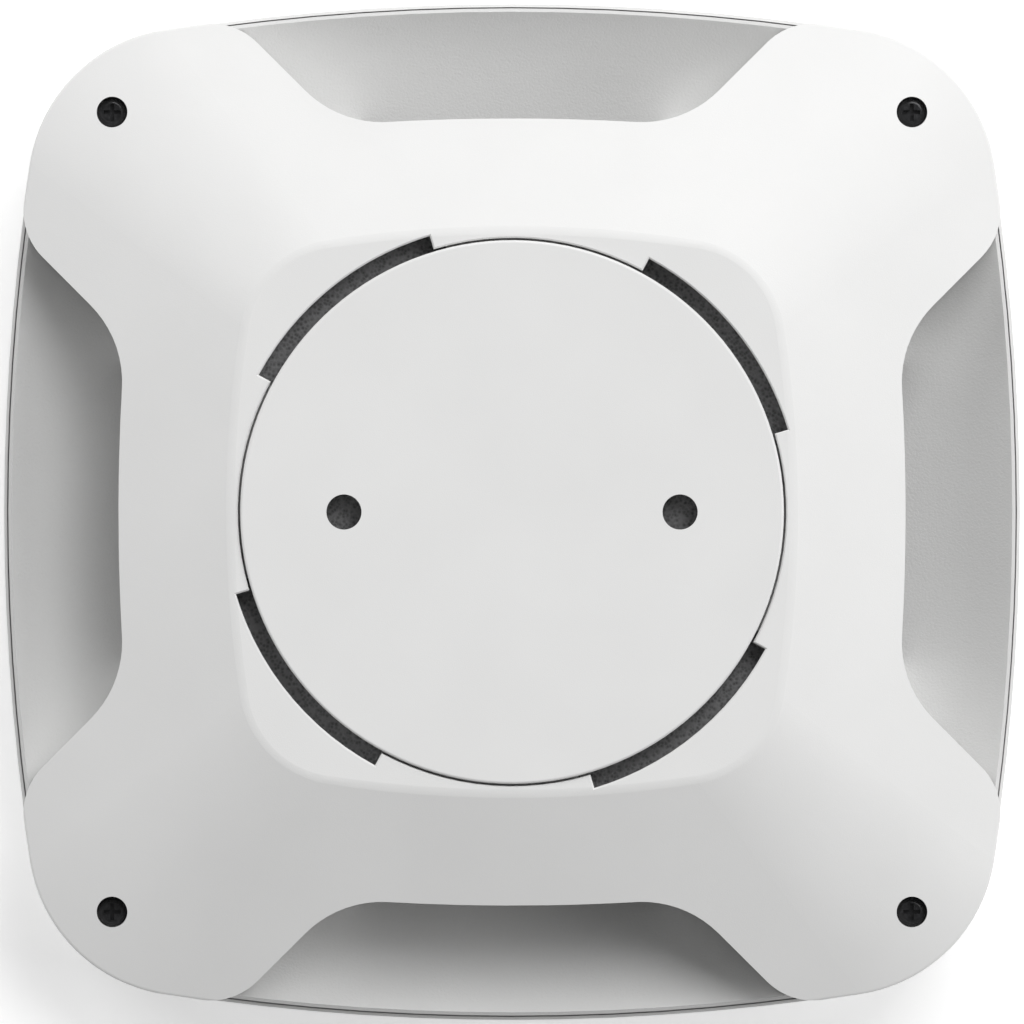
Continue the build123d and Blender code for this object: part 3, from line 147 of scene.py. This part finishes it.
def moulded_plastic(name, tone, grain_mm=0.16, depth_mm=0.012, rough=(0.42, 0.56), variation=0.03):
    """Moulded plastic: a spark-eroded grain, faint flow marks and an uneven sheen."""
    s = Surface(name)
    grain = s.noise(grain_mm, detail=3.0, rough=0.6)
    cloud = s.noise(18.0, detail=2.0)
    darker = tuple(c * (1 - variation) for c in tone)
    s.colour(s.ramp(cloud, darker, tone))
    s.roughness(grain, *rough)
    s.bump(grain, depth_mm)
    return s.material


def plated_metal(name, tone, brush=(1, 1, 1)):
    """Bare or plated metal with fine drawn marks and slight stains."""
    s = Surface(name, metallic=1.0)
    marks = s.noise(0.5, detail=4.0, rough=0.6, vector=s.stretched(brush))
    stain = s.noise(4.0, detail=3.0)
    dull = tuple(c * 0.82 for c in tone)
    s.colour(s.ramp(stain, dull, tone))
    s.roughness(marks, 0.22, 0.4)
    s.bump(marks, 0.004)
    return s.material


def black_screw(name):
    """Black oxide on steel: satin, with a few rubbed spots."""
    s = Surface(name, metallic=0.6, coat=0.3)
    patina = s.noise(0.6, detail=4.0)
    s.colour(s.ramp(patina, (0.012, 0.012, 0.013), (0.03, 0.03, 0.032)))
    s.roughness(patina, 0.28, 0.45)
    s.bump(patina, 0.01)
    return s.material


def foam(name, tone):
    """Closed-cell foam: small round cells over a lumpy skin."""
    s = Surface(name)
    cell = s.cells(0.5)
    lump = s.noise(3.0)
    s.colour(s.ramp(cell, tuple(c * 0.4 for c in tone), tone, 0.0, 0.6))
    s.roughness(lump, 0.85, 0.98)
    s.bump(cell, 0.15)
    s.bump(lump, 0.1)
    return s.material


def circuit_board(name):
    """Green solder mask over copper tracks, with a weave that shows through."""
    weave_mm = 0.5
    track_mm = 6.0
    s = Surface(name, coat=0.4)
    weave = s.nodes.new("ShaderNodeTexChecker")
    weave.inputs["Scale"].default_value = 1000.0 / weave_mm
    s.links.new(s.place, weave.inputs["Vector"])
    tracks = s.nodes.new("ShaderNodeTexBrick")
    tracks.inputs["Scale"].default_value = 1000.0 / track_mm
    tracks.inputs["Mortar Size"].default_value = 0.03
    tracks.inputs["Color1"].default_value = (0.012, 0.10, 0.04, 1)
    tracks.inputs["Color2"].default_value = (0.014, 0.12, 0.05, 1)
    tracks.inputs["Mortar"].default_value = (0.03, 0.2, 0.08, 1)
    s.links.new(s.place, tracks.inputs["Vector"])
    s.colour(tracks.outputs["Color"])
    s.roughness(s.noise(2.0), 0.25, 0.4)
    s.bump(weave.outputs["Fac"], 0.01)
    s.bump(tracks.outputs["Fac"], 0.03)
    return s.material


def clear_resin(name, tone, transmission):
    """Cast resin with faint clouding."""
    s = Surface(name, transmission=transmission, ior=1.54)
    cloud = s.noise(2.5, detail=3.0)
    s.colour(s.ramp(cloud, tuple(c * 0.85 for c in tone), tone))
    s.roughness(cloud, 0.06, 0.18)
    s.bump(cloud, 0.01)
    return s.material


def shrink_sleeve(name):
    """A battery's plain shrink sleeve, glossy and slightly wrinkled."""
    s = Surface(name, coat=0.5)
    wrinkle = s.noise(1.2, detail=4.0)
    s.colour(s.ramp(s.noise(6.0), (0.05, 0.08, 0.13), (0.07, 0.11, 0.17)))
    s.roughness(wrinkle, 0.2, 0.35)
    s.bump(wrinkle, 0.02)
    return s.material


WHITE = (0.79, 0.79, 0.785)
# The dish is white plastic like the covers; this darker grey is painted shade for its deep recesses.
DISH_PAINTED_SHADE_GREY = (0.64, 0.64, 0.635)
FOAM_GREY = (0.24, 0.24, 0.243)
MATERIALS = {
    "cover_plastic": moulded_plastic("cover_plastic", WHITE),
    "bracket_plastic": moulded_plastic("bracket_plastic", WHITE, grain_mm=0.14),
    # The frame's plastic takes the darker grey as painted shade for the recesses round the inlets.
    "frame_plastic": moulded_plastic(
        "frame_plastic", DISH_PAINTED_SHADE_GREY, grain_mm=0.32, depth_mm=0.06, rough=(0.55, 0.75)
    ),
    "black_steel": black_screw("black_steel"),
    "black_foam": foam("black_foam", FOAM_GREY),
    "circuit_board": circuit_board("circuit_board"),
    "zinc_steel": plated_metal("zinc_steel", (0.6, 0.6, 0.58)),
    "component_black": moulded_plastic("component_black", (0.025, 0.025, 0.027)),
    "capacitor_can": plated_metal("capacitor_can", (0.72, 0.72, 0.74), brush=(1, 1, 8)),
    "shield_can": plated_metal("shield_can", (0.66, 0.66, 0.64), brush=(8, 1, 1)),
    "copper_wire": plated_metal("copper_wire", (0.78, 0.36, 0.18)),
    "cell_steel": plated_metal("cell_steel", (0.7, 0.7, 0.7)),
    "battery_wrap": shrink_sleeve("battery_wrap"),
    "nickel_strip": plated_metal("nickel_strip", (0.7, 0.67, 0.62)),
    "chamber_black": moulded_plastic(
        "chamber_black", (0.012, 0.012, 0.013), grain_mm=0.3, rough=(0.7, 0.85)
    ),
    "mesh_steel": plated_metal("mesh_steel", (0.5, 0.5, 0.5)),
    "optic_resin": clear_resin("optic_resin", (0.3, 0.4, 0.62), 0.7),
    "optic_dark": clear_resin("optic_dark", (0.02, 0.02, 0.03), 0.1),
    "piezo_brass": plated_metal("piezo_brass", (0.78, 0.58, 0.26)),
    "led_lens": clear_resin("led_lens", (0.85, 0.85, 0.7), 0.5),
    "light_diffuser": clear_resin("light_diffuser", (0.78, 0.8, 0.82), 0.25),
    "switch_cap": moulded_plastic("switch_cap", (0.62, 0.62, 0.6)),
}

slot_of = {part["node"]: part["material_slot"] for part in frame["record"]["subparts"]}
for node, piece in frame["nodes"].items():
    for material_slot in piece.material_slots:
        material_slot.material = MATERIALS[slot_of[node]]


def add_object(name, data):
    """Adds an object made of a mesh, curve, light or camera to the scene."""
    piece = bpy.data.objects.new(name, data)
    bpy.context.scene.collection.objects.link(piece)
    return piece


# ---------------------------------------------------------------- insect mesh
WIRE_R = 0.00011
WEAVE = 0.00013
STRANDS = 150
ROWS = 8
MESH_BAND = 0.0008
FOLD_R = 0.0001
BAND_SEGMENTS = 180
SHARP_ANGLE = 50


def wire(spline_points, curve, cyclic):
    """Adds one smooth wire to a curve, either closed or from its first point to its last."""
    spline = curve.splines.new("NURBS")
    spline.points.add(len(spline_points) - 1)
    for point, place in zip(spline.points, spline_points):
        point.co = (*place, 1.0)
    spline.order_u = 3
    spline.use_cyclic_u = cyclic
    spline.use_endpoint_u = not cyclic
    spline.resolution_u = 2


def round_point(radius, turn, height):
    """A point on a circle round the detector's axis, with turn as a part of a full turn."""
    angle = 2 * math.pi * turn
    return Vector((radius * math.cos(angle), radius * math.sin(angle), height))


def woven_screen(low, high, radius):
    """Upright strands and rings that pass over and under each other."""
    curve = bpy.data.curves.new("insect_mesh_wires", "CURVE")
    curve.dimensions = "3D"
    curve.bevel_depth = WIRE_R
    curve.bevel_resolution = 1
    middle = radius - WIRE_R - 2 * WEAVE
    levels = [low + (high - low) * (row + 0.5) / ROWS for row in range(ROWS)]
    for strand in range(STRANDS):
        turn = strand / STRANDS
        crossings = [
            round_point(middle + (2 * WEAVE if (strand + row) % 2 else -2 * WEAVE), turn, level)
            for row, level in enumerate(levels)
        ]
        ends = [round_point(middle, turn, low), round_point(middle, turn, high)]
        wire([ends[0], *crossings, ends[1]], curve, cyclic=False)
    for row, level in enumerate(levels):
        ring = [
            round_point(middle + (-2 * WEAVE if (strand + row) % 2 else 2 * WEAVE), strand / STRANDS, level)
            for strand in range(STRANDS)
        ]
        wire(ring, curve, cyclic=True)
    return add_object("insect_mesh_wires", curve)


def lathe(name, profile):
    """A ring made by turning a closed profile of (radius, height) points round the axis."""
    rings = [[round_point(r, turn / BAND_SEGMENTS, z) for r, z in profile] for turn in range(BAND_SEGMENTS)]
    count = len(profile)
    faces = []
    for turn in range(BAND_SEGMENTS):
        next_turn = (turn + 1) % BAND_SEGMENTS
        for place in range(count):
            next_place = (place + 1) % count
            corners = (turn, place), (next_turn, place), (next_turn, next_place), (turn, next_place)
            faces.append([ring * count + corner for ring, corner in corners])
    mesh = bpy.data.meshes.new(name)
    mesh.from_pydata([point for ring in rings for point in ring], [], faces)
    mesh.shade_smooth()
    mesh.set_sharp_from_angle(angle=math.radians(SHARP_ANGLE))
    return add_object(name, mesh)


def folded_band(name, low, high, radius):
    """A strip folded over the edge of the screen, with bevelled folds."""
    inner = radius - 2 * (WIRE_R + 2 * WEAVE)
    profile = [
        (inner, low + FOLD_R), (inner + FOLD_R, low), (radius - FOLD_R, low), (radius, low + FOLD_R),
        (radius, high - FOLD_R), (radius - FOLD_R, high), (inner + FOLD_R, high), (inner, high - FOLD_R),
    ]
    return lathe(name, profile)


def insect_screen():
    """The insect mesh as woven wire between two folded bands."""
    lowest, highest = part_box("insect_mesh")
    radius = highest[0]
    low, high = lowest[2], highest[2]
    pieces = [
        woven_screen(low + MESH_BAND / 2, high - MESH_BAND / 2, radius),
        folded_band("insect_mesh_band_low", low, low + MESH_BAND, radius),
        folded_band("insect_mesh_band_high", high - MESH_BAND, high, radius),
    ]
    for piece in pieces:
        piece.data.materials.append(MATERIALS["mesh_steel"])
        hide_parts("insect_mesh")
        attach(piece, "detector")


# ---------------------------------------------------------------- tamper spring
SPRING_WIRE_R = 0.00017
SPRING_TURNS = 3
POINTS_PER_TURN = 16


def tamper_spring():
    """The tamper plunger's spring, with flat end turns."""
    lowest, highest = (Vector(corner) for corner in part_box("tamper_spring"))
    centre = (lowest + highest) / 2
    axis_place = Vector((centre.x, centre.y, 0))
    radius = (highest.x - lowest.x) / 2 - SPRING_WIRE_R
    low, high = lowest.z + SPRING_WIRE_R, highest.z - SPRING_WIRE_R
    rising_steps = SPRING_TURNS * POINTS_PER_TURN
    flat_steps = POINTS_PER_TURN // 2
    path = []
    for step in range(-flat_steps, rising_steps + flat_steps + 1):
        rise = min(max(step / rising_steps, 0.0), 1.0)
        place = round_point(radius, step / POINTS_PER_TURN, low + (high - low) * rise)
        path.append(place + axis_place)
    curve = bpy.data.curves.new("tamper_spring_wire", "CURVE")
    curve.dimensions = "3D"
    curve.bevel_depth = SPRING_WIRE_R
    curve.bevel_resolution = 3
    curve.use_fill_caps = True
    wire(path, curve, cyclic=False)
    coil = add_object("tamper_spring_coil", curve)
    mesh = bpy.data.meshes.new_from_object(coil)
    bpy.data.objects.remove(coil)
    mesh.materials.clear()
    mesh.materials.append(MATERIALS[slot_of["tamper_spring"]])
    spring = add_object("tamper_spring_wire", mesh)
    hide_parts("tamper_spring")
    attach(spring, "detector")
    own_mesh(spring)


insect_screen()
tamper_spring()


# ---------------------------------------------------------------- floor, light and camera
FLOOR_SIZE = 6.0
FLOOR_GAP = 0.0002
FLOOR_GLOW = 0.3
LIGHT_DISTANCE = 1.6
LIGHT_SIZE = 0.9
SURROUND_STRENGTH = 0.22
VIEW_WIDTH = 0.13304
VIEW_LEVEL = -0.0195
CAMERA_HEIGHT = 3.0
SENSOR_WIDTH = 36.0


def pale_floor(level):
    """A plain pale floor under the object, which glows faintly."""
    bpy.ops.mesh.primitive_plane_add(size=FLOOR_SIZE, location=(0, 0, level))
    floor = bpy.context.object
    floor.name = "floor"
    s = Surface("floor_paper")
    fibre = s.noise(30.0, detail=2.0)
    s.colour(s.ramp(fibre, (0.93, 0.93, 0.93), (0.95, 0.95, 0.95)))
    s.roughness(fibre, 0.85, 0.95)
    s.shader.inputs["Emission Color"].default_value = (1, 1, 1, 1)
    s.shader.inputs["Emission Strength"].default_value = FLOOR_GLOW
    floor.data.materials.append(s.material)


def softbox(name, azimuth, elevation, power):
    """A square area light that faces the object. Azimuth runs from +X towards +Y."""
    light = bpy.data.lights.new(name, "AREA")
    light.shape = "SQUARE"
    light.size = LIGHT_SIZE
    light.energy = power
    a, e = math.radians(azimuth), math.radians(elevation)
    direction = Vector((math.cos(a) * math.cos(e), math.sin(a) * math.cos(e), math.sin(e)))
    lamp = add_object(name, light)
    lamp.location = direction * LIGHT_DISTANCE
    lamp.rotation_mode = "QUATERNION"
    lamp.rotation_quaternion = direction.to_track_quat("Z", "Y")


pale_floor(cad_box[0].z - FLOOR_GAP)
softbox("key", azimuth=60, elevation=55, power=13.0)
softbox("above", azimuth=90, elevation=30, power=3.0)
softbox("right", azimuth=0, elevation=30, power=9.0)
softbox("left", azimuth=135, elevation=30, power=8.0)

world = bpy.data.worlds.new("studio")
bpy.context.scene.world = world
world.use_nodes = True
background = world.node_tree.nodes["Background"]
background.inputs["Color"].default_value = (1, 1, 1, 1)
background.inputs["Strength"].default_value = SURROUND_STRENGTH
bpy.context.scene.view_settings.view_transform = "Standard"

camera_data = bpy.data.cameras.new("camera")
camera_data.sensor_width = SENSOR_WIDTH
camera_data.lens = SENSOR_WIDTH * CAMERA_HEIGHT / VIEW_WIDTH
camera_data.clip_end = 20.0
camera = add_object("camera", camera_data)
camera.location = (0, 0, VIEW_LEVEL + CAMERA_HEIGHT)
bpy.context.scene.camera = camera
